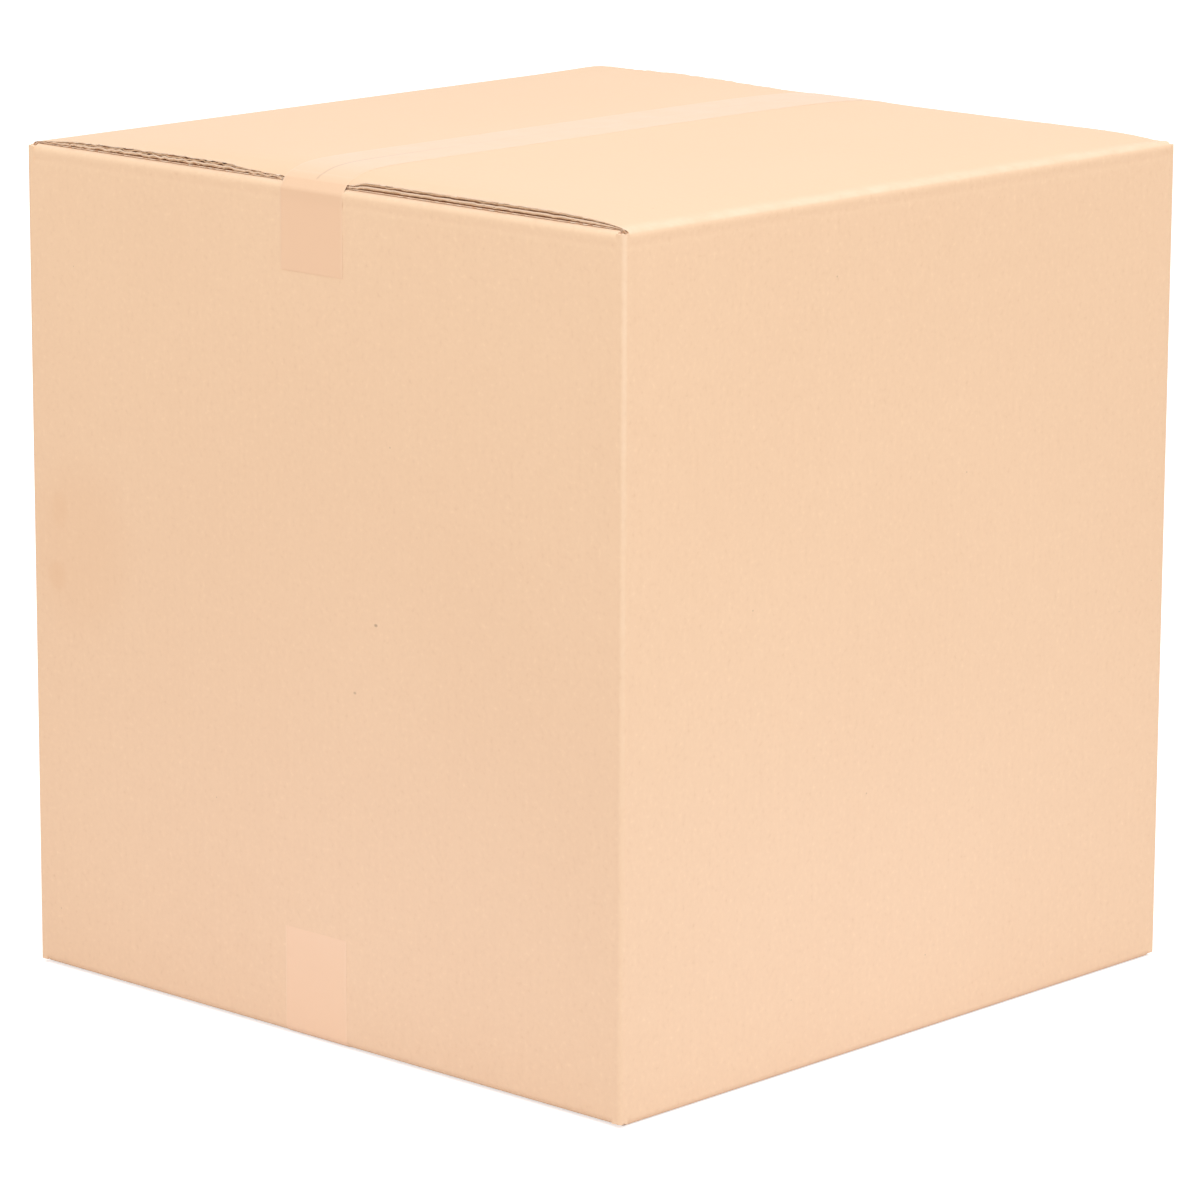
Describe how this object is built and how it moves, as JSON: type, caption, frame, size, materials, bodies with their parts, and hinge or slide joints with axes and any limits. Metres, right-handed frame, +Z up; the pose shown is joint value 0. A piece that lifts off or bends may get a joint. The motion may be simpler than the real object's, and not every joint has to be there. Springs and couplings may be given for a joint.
{
  "type": "closed cardboard box",
  "caption": "Closed, taped corrugated board carton, nearly a cube, with crushed cut edges showing along its top flaps.",
  "frame": {"origin": "centre of the footprint on the floor, the bottom centre of the bounding box", "axes": "+Z up. The wall at -Y and the wall at +Y carry the inner flaps and the tape's tails, the walls at -X and +X carry the outer flaps, and the seams of the outer flaps run along Y."},
  "size_m": [0.48, 0.4806, 0.5106],
  "materials": {
    "kraft_board": "matte unprinted kraft paper on five-ply corrugated board",
    "packing_tape": "clear film tape over kraft paper, satin gloss"
  },
  "bodies": {
    "root": {"carton": "kraft_board", "top_tape": "packing_tape", "bottom_tape": "packing_tape"}
  },
  "joints": []
}
